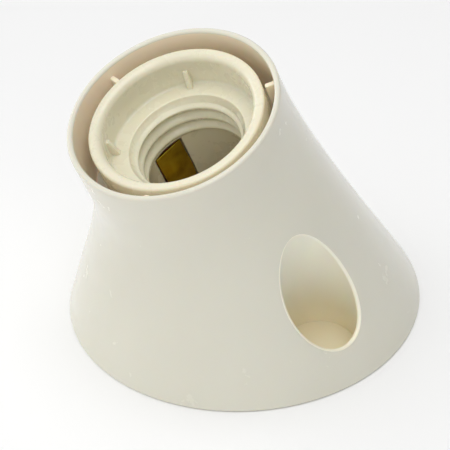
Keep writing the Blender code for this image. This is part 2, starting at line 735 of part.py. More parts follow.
def domed_rivet(top, bottom, centre):
    """Rivet along the lamp axis: a domed head above, a flat upset end below."""
    upset = RIVET_HEAD - GAP
    profile = [(upset, bottom - RIVET_FLAT), (upset, bottom)]
    profile += [(RIVET_SHANK, bottom), (RIVET_SHANK, top), (RIVET_HEAD, top)]
    for part in RIVET_DOME_STEPS:
        radius = RIVET_HEAD * cos(RIVET_DOME_TURN * part)
        profile.append((radius, top + RIVET_DOME * sin(pi / 2 * part)))
    bm = turned(profile, sides=SMALL_SIDES)
    bmesh.ops.translate(bm, verts=bm.verts[:], vec=(centre[0], centre[1], 0.0))
    return bm


def flat_rivet(end, face):
    """Rivet along Z with a flat head below the face and its shank up to the end."""
    return turned([(RIVET_HEAD, face - RIVET_DOME), (RIVET_HEAD, face),
                   (RIVET_SHANK, face), (RIVET_SHANK, end)], sides=SMALL_SIDES)


def make_rivets():
    root_x, root_z = CENTRE_LEAF_PIVOT
    bm = domed_rivet(root_z + LEAF_THICKNESS / 2 + LEAF_PLAY, PLATE_BOTTOM - GAP, (root_x, 0.0))
    shade(add_lamp_node("centre_contact_rivet", bm, "terminal_brass"))

    bm = flat_rivet(TERMINAL_BORE_TOP - 2 * GAP, PLATE_BOTTOM - GAP)
    bmesh.ops.translate(bm, verts=bm.verts[:], vec=(*LOOP_RIVET, 0.0))
    shade(add_lamp_node("loop_plate_rivet", bm, "terminal_brass"))

    bm = flat_rivet(SIDE_RIVET_END_X, SIDE_TAB_OUTER_X - GAP)
    bmesh.ops.rotate(bm, verts=bm.verts[:], matrix=Matrix.Rotation(pi / 2, 3, "Y"))
    bmesh.ops.translate(bm, verts=bm.verts[:], vec=(0.0, 0.0, SIDE_LEAF_PIVOT[1]))
    shade(add_lamp_node("side_contact_rivet", bm, "terminal_brass"))


# ---------------------------------------------------------------- terminals

def hole_in(obj, name, centre, radius):
    tool = add_cutter(name, cylinder(
        radius, PLATE_BOTTOM - BASE_WALL, PLATE_TOP + BASE_WALL, centre=centre, sides=SMALL_SIDES))
    cut(obj, tool)


def make_plates():
    for name, (low, high) in PLATE_EXTENTS.items():
        bm = box((*low, PLATE_BOTTOM), (*high, PLATE_TOP))
        plate = add_lamp_node(f"{name}_plate", bm, "terminal_brass")
        hole_in(plate, f"{name}_plate_hole", TERMINALS[name], TERMINAL_HOLE)
        if name == "live":
            hole_in(plate, "live_rivet_hole", (CENTRE_LEAF_PIVOT[0], 0.0),
                    RIVET_SHANK + GAP)
        if name == "loop":
            hole_in(plate, "loop_plate_rivet_hole", LOOP_RIVET, RIVET_SHANK + GAP)
        if name == "neutral":
            tab = add_cutter("side_tab", box(
                (SIDE_TAB_OUTER_X, -SIDE_TAB_HALF_WIDTH, PLATE_BOTTOM),
                (SIDE_TAB_INNER_X, SIDE_TAB_HALF_WIDTH, SIDE_LEAF_PIVOT[1] + SIDE_TAB_RISE)))
            join(plate, tab)
            cut(plate, add_cutter("side_tab_hole", side_cylinder(
                RIVET_SHANK + GAP, -BLOCK_HALF_X, SIDE_NOTCH_FLOOR_X)))


def make_clamp_washer(name, centre):
    """Square washer with two turned-up lips that trap the wire."""
    top = PLATE_BOTTOM - GAP
    half = WASHER_SIZE / 2
    outline = [(-half, -half, top), (-half, -half, top - WASHER_THICKNESS - WASHER_LIP),
               (-half + WASHER_LIP, -half, top - WASHER_THICKNESS - WASHER_LIP),
               (-half + 2 * WASHER_LIP, -half, top - WASHER_THICKNESS),
               (half - 2 * WASHER_LIP, -half, top - WASHER_THICKNESS),
               (half - WASHER_LIP, -half, top - WASHER_THICKNESS - WASHER_LIP),
               (half, -half, top - WASHER_THICKNESS - WASHER_LIP), (half, -half, top)]
    bm = prism(outline, (0.0, WASHER_SIZE, 0.0))
    bmesh.ops.translate(bm, verts=bm.verts[:], vec=(*centre, 0.0))
    washer = add_lamp_node(f"{name}_clamp_washer", bm, "plated_steel", pivot=(*centre, top))
    tool = add_cutter(f"{name}_washer_hole", cylinder(
        TERMINAL_HOLE, top - BASE_WALL, top + BASE_WALL, centre=centre, sides=SMALL_SIDES))
    cut(washer, tool)


def slotted_screw(name, shank, head, head_top, tip, centre):
    """Pan-head screw that points up the lamp axis, slotted on its underside."""
    head_bottom = head_top - SCREW_HEAD_HEIGHT
    profile = []
    for width, height in SCREW_HEAD_PROFILE:
        profile.append((head * width, head_bottom + SCREW_HEAD_HEIGHT * height))
    profile += [(shank, head_top), (shank, tip - SCREW_POINT), (shank * SCREW_TIP_SHARE, tip)]
    bm = turned(profile, sides=SCREW_SIDES)
    bmesh.ops.translate(bm, verts=bm.verts[:], vec=(*centre, 0.0))
    screw = add_lamp_node(name, bm, "plated_steel", pivot=(*centre, head_top))
    slot = add_cutter(f"{name}_slot", box(
        (centre[0] - head - GAP, centre[1] - SCREW_SLOT_WIDTH / 2, head_bottom - GAP),
        (centre[0] + head + GAP, centre[1] + SCREW_SLOT_WIDTH / 2,
         head_bottom + SCREW_SLOT_DEPTH)))
    cut(screw, slot)
    shade(screw)


def make_terminals():
    make_plates()
    washer_face = PLATE_BOTTOM - GAP - WASHER_THICKNESS
    for name, centre in TERMINALS.items():
        make_clamp_washer(name, centre)
        slotted_screw(f"{name}_screw", SCREW_SHANK, SCREW_HEAD_RADIUS,
                      washer_face - GAP, SCREW_TIP, centre)


def make_fixing_screws():
    for sign, side in ((-1, "left"), (1, "right")):
        slotted_screw(f"barrel_screw_{side}", BARREL_SCREW_SHANK, BARREL_SCREW_HEAD,
                      SEAT_TOP - SEAT_THICKNESS - GAP, SEAT_SCREW_HOLE_TOP - 2 * GAP,
                      (sign * PILLAR_OFFSET, 0.0))
    for sign, side in ((-1, "front"), (1, "rear")):
        slotted_screw(f"block_screw_{side}", BLOCK_SCREW_SHANK, BLOCK_SCREW_HEAD,
                      BLOCK_BOTTOM - GAP, PILLAR_HOLE_TOP - BLOCK_SCREW_TIP_ROOM,
                      (0.0, sign * PILLAR_OFFSET))


make_shell()
make_barrel()
make_block()
make_side_contact()
make_centre_contact()
make_rivets()
make_terminals()
make_fixing_screws()
bpy.context.view_layer.update()
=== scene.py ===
"""Looks of the angled batten lampholder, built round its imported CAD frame.

Lengths are in metres. The base stands on z = 0. Pieces along the lamp axis
are drawn in the lamp frame: its origin is the centre of the collar's rim,
its +Z points out of the holder, and depths into the holder are negative.
"""

import json
from math import atan2, cos, pi, radians, sin, tan, tau

import bmesh
import bpy
from mathutils import Matrix, Vector
from mathutils.bvhtree import BVHTree


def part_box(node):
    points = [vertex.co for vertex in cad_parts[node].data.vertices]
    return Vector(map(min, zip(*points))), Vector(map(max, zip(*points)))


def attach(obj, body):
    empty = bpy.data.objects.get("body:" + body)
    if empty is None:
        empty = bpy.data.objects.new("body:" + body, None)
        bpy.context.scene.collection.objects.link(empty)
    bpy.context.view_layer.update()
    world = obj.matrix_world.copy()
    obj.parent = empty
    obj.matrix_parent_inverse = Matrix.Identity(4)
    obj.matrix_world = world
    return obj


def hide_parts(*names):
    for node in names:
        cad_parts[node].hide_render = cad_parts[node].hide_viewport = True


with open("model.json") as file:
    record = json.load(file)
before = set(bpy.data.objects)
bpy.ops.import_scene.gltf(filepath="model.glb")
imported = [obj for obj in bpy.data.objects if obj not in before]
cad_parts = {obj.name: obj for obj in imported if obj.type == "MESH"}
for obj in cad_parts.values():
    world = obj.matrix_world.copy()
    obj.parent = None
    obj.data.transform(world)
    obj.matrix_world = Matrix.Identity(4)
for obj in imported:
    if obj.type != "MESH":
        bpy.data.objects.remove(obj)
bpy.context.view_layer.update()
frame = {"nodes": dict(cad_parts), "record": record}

MM = 0.001
GAP = 0.3 * MM

# ---------------------------------------------------------------- places from the frame

MOUNTS = {mount["name"]: mount for mount in frame["record"]["mounts"]}
LAMP_OUT = Vector(MOUNTS["lamp_ledge"]["axis"])
LAMP_TILT = atan2(-LAMP_OUT.y, LAMP_OUT.z)
LAMP_TURN = Matrix.Rotation(LAMP_TILT, 4, "X")
LEDGE_DEPTH = -11.2 * MM
LEDGE_POINT = Vector((16.2 * MM, 0.0, LEDGE_DEPTH))
COLLAR_CENTRE = Vector(MOUNTS["lamp_ledge"]["pos_m"]) - LAMP_TURN @ LEDGE_POINT
COLLAR_FRAME = Matrix.Translation(COLLAR_CENTRE) @ LAMP_TURN
INSERT_TURN = radians(-4.0)
LAMP_FRAME = COLLAR_FRAME @ Matrix.Rotation(INSERT_TURN, 4, "Z")
INTO_LAMP_FRAME = LAMP_FRAME.inverted()

# ---------------------------------------------------------------- sizes

BASE_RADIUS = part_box("outer_shell")[1].x
COLLAR_RADIUS = 26.0 * MM
BASE_WALL = 2.2 * MM
COLLAR_WALL = 1.5 * MM
RIM_ROUNDING = 0.65 * MM
FOOT_ROUNDING = 0.5 * MM
COLLAR_STRAIGHT = (6.5 * MM, -5.0 * MM)
COLLAR_PULL = (22.5 * MM, 6.5 * MM)
BASE_PULL = (15.0 * MM, -12.0 * MM)
BASE_LEAN = radians(16.0)
FLARE_START = 0.03
FLARE_EASE = 1.35
SHELL_COLUMNS = 176
OUTER_ROWS = 60
INNER_ROWS = 26
FOOT_STEPS = 4
RIM_STEPS = 6

WELL_CENTRE = Vector((33.7 * MM, -7.0 * MM, 20.0 * MM))
WELL_LEAN_ANGLE = radians(-45.0)
WELL_RADIUS = 9.0 * MM
WELL_WALL = 1.6 * MM
WELL_FLOOR = MOUNTS["screw_seat_right"]["pos_m"][2]
WELL_BEND = 8.0 * MM
WELL_TOP = 52.0 * MM
WELL_SIDES = 120
WELL_LIP = 0.7 * MM
LIP_STEPS = 7
LIP_TURN_SHARE = 0.86
LIP_SMOOTHING = 3
LIP_RUN_ON = 2.0 * MM
# Beyond the lip the bore's tool closes to a point outside the shell
BORE_TIP_REACH = 22.0 * MM
BORE_TIP_WAY = (1.0, -0.6, 0.5)
SLOT_CENTRE = (31.8 * MM, -6.5 * MM)
SLOT_WIDTH = 4.5 * MM
SLOT_LENGTH = 8.0 * MM
SLOT_STEPS = 14
SKIN_INSET = 0.7 * MM

SEAT_TOP = -18.5 * MM
SEAT_THICKNESS = 2.3 * MM
SEAT_BORE_RADIUS = 15.4 * MM
SEAT_BORE_SIDES = 96
SEAT_DISC_RADIUS = 36.0 * MM
PILLAR_OFFSET = 17.6 * MM
PILLAR_RADIUS = 3.0 * MM
PILLAR_NOTCH_RADIUS = 3.4 * MM
PILLAR_HOLE_RADIUS = 1.55 * MM
PILLAR_HOLE_TOP = -27.5 * MM
SEAT_SCREW_HOLE_RADIUS = 1.35 * MM
SEAT_SCREW_HOLE_TOP = -13.2 * MM
COLLAR_RIB_ANGLES = (60.0, 180.0, 300.0)
COLLAR_RIB_WIDTH = 1.3 * MM
COLLAR_RIB_INNER = 22.0 * MM
COLLAR_RIB_TOP = -3.2 * MM
COLLAR_RIB_ROUNDING = 0.25 * MM

RING_OUTER = 21.5 * MM
RING_INNER = 18.5 * MM
RING_TOP = -2.3 * MM
RING_OUTER_ROUNDING = 0.7 * MM
RING_OUTER_STEPS = 7
RING_INNER_ROUNDING = 1.8 * MM
RING_INNER_STEPS = 10
LEDGE_FILLET = 0.8 * MM
LEDGE_STEPS = 5
THREAD_MOUTH_RADIUS = 14.3 * MM
MOUTH_ROUNDING = 0.4 * MM
MOUTH_STEPS = 4
THREAD_START = -12.6 * MM
THREAD_END = -22.9 * MM
THREAD_PITCH = 3.629 * MM
THREAD_CREST = 12.4 * MM
THREAD_ROOT = 13.5 * MM
THREAD_CREST_DEPTH = -13.9 * MM
THREAD_CREST_ANGLE = radians(130.0)
THREAD_RUN_OUT = 0.3
THREAD_ROWS = 84
BORE_RADIUS = 13.5 * MM
TUBE_OUTER = 15.0 * MM
BARREL_BOTTOM = -38.0 * MM
BARREL_COLUMNS = 144
RECESS_RIB_ANGLES = (45.0, 135.0, 225.0, 315.0)
RECESS_RIB_WIDTH = 1.3 * MM
RECESS_RIB_REACH = 2.3 * MM
RECESS_RIB_TOP = -6.6 * MM
RECESS_RIB_TOP_REACH = 0.6 * MM
RECESS_RIB_ROUNDING = 0.2 * MM
WINDOW_HALF_WIDTH = 4.5 * MM
WINDOW_TOP = -22.8 * MM
WINDOW_INNER_X = -6.2 * MM

BLOCK_ROUNDING = 0.35 * MM
LEAF_ROUNDING = 0.09 * MM
PLATE_ROUNDING = 0.12 * MM
SMALL_ROUNDING = 0.10 * MM
ROUNDING_SEGMENTS = 3
ROUNDED_ABOVE = radians(40.0)
FLAT_BELOW = radians(2.0)
CAD_MERGE = 0.002 * MM
PIECE_MERGE = 0.004 * MM

# Radius of the head, then of the shank
TERMINAL_SCREW = (2.5 * MM, 1.7 * MM)
BARREL_SCREW = (2.6 * MM, 1.15 * MM)
BLOCK_SCREW = (2.8 * MM, 1.25 * MM)
SCREW_HEAD_HEIGHT = 2.1 * MM
SCREW_HEAD_EDGE = 0.15 * MM
SCREW_DOME_ANGLES = (62, 54, 45, 36, 27, 18, 10, 0)
SCREW_DOME_FLATNESS = 0.8
SCREW_THREAD_PITCH = 0.6 * MM
SCREW_CREST_SHARE = 0.99
SCREW_ROOT_SHARE = 0.84
SCREW_END_SHARE = 0.95
SCREW_TIP_SHARE = 0.7
SCREW_SLOT_REACH = 1.2
SCREW_SLOT_WIDTH = 0.9 * MM
SCREW_SLOT_DEPTH = 1.0 * MM
SCREW_SIDES = 48

# ---------------------------------------------------------------- camera and light

CAMERA_TARGET = Vector((1.7 * MM, -6.9 * MM, 26.8 * MM))
CAMERA_AZIMUTH = radians(47.78)
CAMERA_ELEVATION = radians(36.5)
CAMERA_ROLL = radians(-3.14)
CAMERA_DISTANCE = 453.0 * MM
CAMERA_LENS = 146.9
SENSOR_WIDTH = 36.0

# The room is brightest towards this azimuth and darkest away from it
WORLD_BRIGHT_AZIMUTH = -60.0
WORLD_STRENGTH = (0.16, 1.02)

FLOOR_HALF_SIZE = 2.5
FLOOR_GRID = 8
FLOOR_DROP = 0.1 * MM

# Painted shade on the shell's inner faces by share of this height: warm at the floor and the mouth,
# standing in for warm light bounced between the walls
PAINTED_SHADE_HEIGHT = 75.0 * MM
INSIDE_PAINTED_SHADE = ((0.05, (1.0, 0.93, 0.80)), (0.17, (1.0, 0.97, 0.91)), (0.28, (1.0, 0.99, 0.96)),
                (0.50, (1.0, 0.99, 0.96)), (0.66, (1.0, 0.90, 0.80)))


def direction(azimuth, elevation):
    """Unit vector; azimuth 0 is -Y, turning towards +X."""
    flat = cos(elevation)
    return Vector((sin(azimuth) * flat, -cos(azimuth) * flat, sin(elevation)))


def make_camera():
    data = bpy.data.cameras.new("camera")
    data.lens = CAMERA_LENS
    data.sensor_width = SENSOR_WIDTH
    data.clip_start = 0.01
    camera = bpy.data.objects.new("camera", data)
    bpy.context.scene.collection.objects.link(camera)
    back = direction(CAMERA_AZIMUTH, CAMERA_ELEVATION)
    turn = back.to_track_quat("Z", "Y").to_matrix().to_4x4()
    turn = turn @ Matrix.Rotation(CAMERA_ROLL, 4, "Z")
    place = CAMERA_TARGET + CAMERA_DISTANCE * back
    camera.matrix_world = Matrix.Translation(place) @ turn
    bpy.context.scene.camera = camera


def softbox(name, azimuth, elevation, distance, size, power):
    data = bpy.data.lights.new(name, "AREA")
    data.shape = "RECTANGLE"
    data.size, data.size_y = size
    data.energy = power
    light = bpy.data.objects.new(name, data)
    bpy.context.scene.collection.objects.link(light)
    back = direction(radians(azimuth), radians(elevation))
    light.location = CAMERA_TARGET + distance * back
    light.rotation_euler = back.to_track_quat("Z", "Y").to_euler()


def make_lights():
    softbox("low_left", -80.0, 14.0, 0.75, (0.50, 0.25), 0.5)
    softbox("top", 60.0, 84.0, 0.60, (0.45, 0.45), 1.4)
    softbox("camera_side", 54.0, 42.0, 1.0, (0.5, 0.5), 1.45)


def make_world():
    world = bpy.data.worlds.new("studio")
    bpy.context.scene.world = world
    world.use_nodes = True
    tree = world.node_tree
    place = tree.nodes.new("ShaderNodeTexCoord").outputs["Generated"]
    facing = tree.nodes.new("ShaderNodeVectorMath")
    facing.operation = "DOT_PRODUCT"
    facing.inputs[1].default_value = direction(radians(WORLD_BRIGHT_AZIMUTH), 0.0)
    tree.links.new(place, facing.inputs[0])
    span = tree.nodes.new("ShaderNodeMapRange")
    span.inputs["From Min"].default_value = -1.0
    span.inputs["To Min"].default_value, span.inputs["To Max"].default_value = WORLD_STRENGTH
    tree.links.new(facing.outputs["Value"], span.inputs["Value"])
    tree.links.new(span.outputs["Result"], tree.nodes["Background"].inputs["Strength"])
    tree.nodes["Background"].inputs["Color"].default_value = (1.0, 1.0, 1.0, 1.0)


# ---------------------------------------------------------------- materials

class Nodes:
    """Short calls for building one material's node tree."""

    def __init__(self, name):
        self.material = bpy.data.materials.new(name)
        self.material.use_nodes = True
        self.tree = self.material.node_tree
        self.shader = self.tree.nodes["Principled BSDF"]
        self.place = self.tree.nodes.new("ShaderNodeTexCoord").outputs["Object"]

    def link(self, output, socket):
        self.tree.links.new(output, socket)

    def stretched(self, scale):
        mapping = self.tree.nodes.new("ShaderNodeMapping")
        mapping.inputs["Scale"].default_value = scale
        self.link(self.place, mapping.inputs["Vector"])
        return mapping.outputs["Vector"]

    def noise(self, scale, detail=3.0, rough=0.5, place=None):
        """Noise whose grains are about 1 / scale metres across."""
        node = self.tree.nodes.new("ShaderNodeTexNoise")
        node.inputs["Scale"].default_value = scale
        node.inputs["Detail"].default_value = detail
        node.inputs["Roughness"].default_value = rough
        self.link(place or self.place, node.inputs["Vector"])
        return node.outputs["Fac"]

    def span(self, value, low, high, to_low, to_high):
        node = self.tree.nodes.new("ShaderNodeMapRange")
        node.inputs["From Min"].default_value = low
        node.inputs["From Max"].default_value = high
        node.inputs["To Min"].default_value = to_low
        node.inputs["To Max"].default_value = to_high
        self.link(value, node.inputs["Value"])
        return node.outputs["Result"]

    def colours(self, value, stops):
        node = self.tree.nodes.new("ShaderNodeValToRGB")
        ramp = node.color_ramp
        while len(ramp.elements) < len(stops):
            ramp.elements.new(1.0)
        for element, (place, colour) in zip(ramp.elements, stops):
            element.position = place
            element.color = (*colour, 1.0)
        self.link(value, node.inputs["Fac"])
        return node.outputs["Color"]

    def mix(self, factor, first, second):
        """Blend of a colour output towards one plain colour."""
        node = self.tree.nodes.new("ShaderNodeMix")
        node.data_type = "RGBA"
        self.link(factor, node.inputs["Factor"])
        self.link(first, node.inputs["A"])
        node.inputs["B"].default_value = (*second, 1.0)
        return node.outputs["Result"]

    def with_painted_shade(self, colour, painted_shade_tints):
        """Colour multiplied by one that changes with height up the piece: painted warm shade."""
        split = self.tree.nodes.new("ShaderNodeSeparateXYZ")
        self.link(self.place, split.inputs["Vector"])
        height = self.span(split.outputs["Z"], 0.0, PAINTED_SHADE_HEIGHT, 0.0, 1.0)
        node = self.tree.nodes.new("ShaderNodeMix")
        node.data_type = "RGBA"
        node.blend_type = "MULTIPLY"
        node.inputs["Factor"].default_value = 1.0
        self.link(colour, node.inputs["A"])
        self.link(self.colours(height, painted_shade_tints), node.inputs["B"])
        return node.outputs["Result"]

    def add(self, first, second, share):
        node = self.tree.nodes.new("ShaderNodeMath")
        node.operation = "MULTIPLY_ADD"
        self.link(second, node.inputs[0])
        node.inputs[1].default_value = share
        self.link(first, node.inputs[2])
        return node.outputs["Value"]

    def bump(self, height, distance, strength=1.0):
        node = self.tree.nodes.new("ShaderNodeBump")
        node.inputs["Strength"].default_value = strength
        node.inputs["Distance"].default_value = distance
        self.link(height, node.inputs["Height"])
        self.link(node.outputs["Normal"], self.shader.inputs["Normal"])


def glossy_plastic(name, pale, deep, roughness, scatter, painted_shade_tints=None):
    """Moulded gloss plastic: faint flow mottling, fine specks, soft ripple."""
    nodes = Nodes(name)
    shader = nodes.shader
    flow = nodes.noise(38.0, detail=4.0, place=nodes.stretched((1.0, 1.0, 0.45)))
    body = nodes.colours(flow, ((0.30, deep), (0.70, pale)))
    # Optional painted warm shade by height, multiplied into the colour
    if painted_shade_tints:
        body = nodes.with_painted_shade(body, painted_shade_tints)
    specks = nodes.noise(2600.0, detail=2.0, rough=0.7)
    dark = tuple(part * 0.80 for part in deep)
    speck_mask = nodes.span(specks, 0.76, 0.80, 0.0, 0.22)
    nodes.link(nodes.mix(speck_mask, body, dark), shader.inputs["Base Color"])
    wear = nodes.noise(160.0, detail=5.0, rough=0.6)
    nodes.link(nodes.span(wear, 0.3, 0.7, roughness - 0.045, roughness + 0.06),
               shader.inputs["Roughness"])
    ripple = nodes.noise(210.0, detail=1.0)
    grain = nodes.noise(1900.0, detail=2.0)
    nodes.bump(nodes.add(ripple, grain, 0.10), 0.05 * MM, 0.55)
    shader.inputs["IOR"].default_value = 1.5
    shader.inputs["Coat Weight"].default_value = 0.35
    shader.inputs["Coat Roughness"].default_value = 0.07
    shader.inputs["Subsurface Weight"].default_value = scatter
    shader.inputs["Subsurface Radius"].default_value = (1.0, 0.55, 0.25)
    shader.inputs["Subsurface Scale"].default_value = 1.6 * MM
    return nodes.material


def moulding(name, pale, deep):
    """Heat-resisting moulding: dense, matt, with pale filler flecks."""
    nodes = Nodes(name)
    shader = nodes.shader
    cloud = nodes.noise(90.0, detail=6.0, rough=0.6)
    body = nodes.colours(cloud, ((0.32, deep), (0.68, pale)))
    flecks = nodes.noise(1500.0, detail=3.0, rough=0.75)
    bright = tuple(min(1.0, part * 1.55) for part in pale)
    mask = nodes.span(flecks, 0.62, 0.70, 0.0, 0.6)
    nodes.link(nodes.mix(mask, body, bright), shader.inputs["Base Color"])
    nodes.link(nodes.span(cloud, 0.3, 0.7, 0.40, 0.58), shader.inputs["Roughness"])
    nodes.bump(flecks, 0.04 * MM, 0.6)
    return nodes.material


def metal(name, stops, roughness, drawn=(1.0, 14.0, 14.0)):
    """Pressed metal: tarnish clouds and fine drawing lines along X."""
    nodes = Nodes(name)
    shader = nodes.shader
    tarnish = nodes.noise(230.0, detail=6.0, rough=0.65)
    nodes.link(nodes.colours(tarnish, stops), shader.inputs["Base Color"])
    lines = nodes.noise(900.0, detail=4.0, rough=0.6, place=nodes.stretched(drawn))
    blend = nodes.add(tarnish, lines, 0.5)
    nodes.link(nodes.span(blend, 0.45, 1.05, roughness - 0.08, roughness + 0.14),
               shader.inputs["Roughness"])
    nodes.bump(lines, 0.01 * MM, 0.5)
    shader.inputs["Metallic"].default_value = 1.0
    return nodes.material


def make_materials():
    return {
        "cream_plastic": glossy_plastic(
            "cream_plastic", (0.740, 0.722, 0.615), (0.715, 0.695, 0.585), 0.22, 0.18),
        # Inner faces: the same plastic as the outside, painted much paler as painted light for the
        # shaded inside, plus painted warm shade by height
        "cream_inside_painted_light_and_shade": glossy_plastic(
            "cream_inside_painted_light_and_shade", (0.945, 0.925, 0.810), (0.925, 0.900, 0.780), 0.34, 0.30, INSIDE_PAINTED_SHADE),
        "cream_insert": glossy_plastic(
            "cream_insert", (0.800, 0.765, 0.600), (0.775, 0.735, 0.560), 0.27, 0.30),
        "tan_moulding": moulding("tan_moulding", (0.36, 0.25, 0.155), (0.27, 0.18, 0.105)),
        "contact_brass": metal("contact_brass", (
            (0.30, (0.40, 0.27, 0.020)), (0.55, (0.54, 0.40, 0.035)), (0.80, (0.62, 0.50, 0.06))), 0.38),
        "terminal_brass": metal("terminal_brass", (
            (0.30, (0.50, 0.36, 0.13)), (0.55, (0.66, 0.50, 0.21)), (0.80, (0.74, 0.58, 0.28))), 0.30),
        "plated_steel": metal("plated_steel", (
            (0.30, (0.50, 0.50, 0.47)), (0.55, (0.62, 0.62, 0.59)), (0.80, (0.70, 0.70, 0.69))), 0.30),
    }


MATERIALS = make_materials()

# ---------------------------------------------------------------- mesh helpers


def new_object(name, bm, material, in_lamp_frame=True, second=None):
    """Piece with its mesh in world coordinates and its object at the origin."""
    if in_lamp_frame:
        bm.transform(LAMP_FRAME)
    bmesh.ops.recalc_face_normals(bm, faces=bm.faces[:])
    mesh = bpy.data.meshes.new(name)
    bm.to_mesh(mesh)
    bm.free()
    mesh.materials.append(MATERIALS[material])
    if second:
        mesh.materials.append(MATERIALS[second])
    obj = bpy.data.objects.new(name, mesh)
    bpy.context.scene.collection.objects.link(obj)
    return obj


def apply_modifiers(obj):
    evaluated = obj.evaluated_get(bpy.context.evaluated_depsgraph_get())
    mesh = bpy.data.meshes.new_from_object(evaluated)
    obj.modifiers.clear()
    obj.data = mesh


def combine(obj, tools):
    """Applies (tool, operation) Booleans in turn, then removes the tools."""
    for tool, operation in tools:
        modifier = obj.modifiers.new(tool.name, "BOOLEAN")
        modifier.operation = operation
        modifier.solver = "EXACT"
        modifier.material_mode = "TRANSFER"
        modifier.object = tool
        apply_modifiers(obj)
        bpy.data.objects.remove(tool, do_unlink=True)


def clean(obj):
    bm = bmesh.new()
    bm.from_mesh(obj.data)
    bmesh.ops.remove_doubles(bm, verts=bm.verts[:], dist=PIECE_MERGE)
    bmesh.ops.dissolve_degenerate(bm, edges=bm.edges[:], dist=PIECE_MERGE)
    bm.to_mesh(obj.data)
    bm.free()


def shade(obj, angle=38.0):
    obj.data.shade_smooth()
    obj.data.set_sharp_from_angle(angle=radians(angle))


def declare(obj, body, slot, *nodes):
    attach(obj, body)
    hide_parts(*nodes)


def cylinder(radius, bottom, top, centre=(0.0, 0.0), sides=48):
    bm = bmesh.new()
    place = Matrix.Translation((centre[0], centre[1], (bottom + top) / 2))
    bmesh.ops.create_cone(
        bm, cap_ends=True, segments=sides, radius1=radius, radius2=radius,
        depth=top - bottom, matrix=place)
    return bm


def box(low, high):
    bm = bmesh.new()
    size = [high[i] - low[i] for i in range(3)]
    centre = [(high[i] + low[i]) / 2 for i in range(3)]
    matrix = Matrix.Translation(centre) @ Matrix.Diagonal((*size, 1.0))
    bmesh.ops.create_cube(bm, size=1.0, matrix=matrix)
    return bm


def soften(bm, width, segments=2):
    """Rounds every edge of a simple blocky mesh."""
    bmesh.ops.bevel(bm, geom=bm.edges[:], offset=width, segments=segments,
                    profile=0.5, affect="EDGES", clamp_overlap=True)
    return bm


def prism(outline, along):
    bm = bmesh.new()
    face = bm.faces.new([bm.verts.new(point) for point in outline])
    swept = bmesh.ops.extrude_face_region(bm, geom=[face])["geom"]
    moved = [item for item in swept if isinstance(item, bmesh.types.BMVert)]
    bmesh.ops.translate(bm, verts=moved, vec=along)
    return bm


def ring_grid(rings, closed=False):
    """Skin over rings of equal length; a closed grid joins last ring to first."""
    bm = bmesh.new()
    rows = [[bm.verts.new(point) for point in ring] for ring in rings]
    pairs = list(zip(rows, rows[1:]))
    if closed:
        pairs.append((rows[-1], rows[0]))
    for lower, upper in pairs:
        count = len(lower)
        for i in range(count):
            j = (i + 1) % count
            bm.faces.new((lower[i], lower[j], upper[j], upper[i]))
    if not closed:
        bm.faces.new(rows[0])
        bm.faces.new(rows[-1])
    return bm


def angles_round(count):
    return [tau * i / count for i in range(count)]


def turned(profile, sides):
    """Solid of revolution about Z from (radius, height) points, capped flat."""
    rings = []
    for radius, height in profile:
        rings.append([(radius * cos(a), radius * sin(a), height) for a in angles_round(sides)])
    return ring_grid(rings)


def arc(centre, radius, start, end, steps):
    points = []
    for i in range(steps + 1):
        angle = radians(start + (end - start) * i / steps)
        points.append((centre[0] + radius * cos(angle), centre[1] + radius * sin(angle)))
    return points


# ---------------------------------------------------------------- shell

def bezier(p0, p1, p2, p3, t):
    s = 1.0 - t
    return s ** 3 * p0 + 3 * s * s * t * p1 + 3 * s * t * t * p2 + t ** 3 * p3


def flare_point(angle, t, inset, wall_scale=1.0):
    """Point of the flare, moved in by an inset that shrinks by wall_scale upwards."""
    swing = sin(angle)
    outward = Vector((cos(angle), swing, 0.0))
    lamp_out = LAMP_TURN.to_3x3() @ outward
    foot = (BASE_RADIUS - inset) * outward
    rim = COLLAR_CENTRE + (COLLAR_RADIUS - inset * wall_scale) * lamp_out
    straight = COLLAR_STRAIGHT[0] + COLLAR_STRAIGHT[1] * swing
    collar_pull = COLLAR_PULL[0] + COLLAR_PULL[1] * swing
    base_pull = BASE_PULL[0] + BASE_PULL[1] * swing
    rise = Vector((0.0, 0.0, cos(BASE_LEAN))) - sin(BASE_LEAN) * outward
    neck = rim - straight * LAMP_OUT
    return bezier(foot, foot + base_pull * rise, neck - collar_pull * LAMP_OUT, neck, t)


def flare_ring(t, inset, wall_scale=1.0, columns=SHELL_COLUMNS):
    return [flare_point(angle, t, inset, wall_scale) for angle in angles_round(columns)]


def collar_ring(radius, height, columns=SHELL_COLUMNS):
    ring = []
    for angle in angles_round(columns):
        ring.append(COLLAR_FRAME @ Vector((radius * cos(angle), radius * sin(angle), height)))
    return ring


def foot_rings():
    """Rounded outer edge of the base, from the underside to the flare."""
    rings = []
    for inset, height in arc((FOOT_ROUNDING, FOOT_ROUNDING), FOOT_ROUNDING, 270, 180, FOOT_STEPS):
        rings.append([Vector(((BASE_RADIUS - inset) * cos(a), (BASE_RADIUS - inset) * sin(a),
                              height)) for a in angles_round(SHELL_COLUMNS)])
    return rings[:-1]


def rim_profile():
    outer_centre = (COLLAR_RADIUS - RIM_ROUNDING, -RIM_ROUNDING)
    inner_centre = (COLLAR_RADIUS - COLLAR_WALL + RIM_ROUNDING, -RIM_ROUNDING)
    outer = arc(outer_centre, RIM_ROUNDING, 0, 90, RIM_STEPS)
    return outer + arc(inner_centre, RIM_ROUNDING, 90, 180, RIM_STEPS)


def spaced(count):
    """Shares from 0 to 1, closer together near 0 where the foot curves."""
    return [(i / count) ** FLARE_EASE for i in range(1, count + 1)]


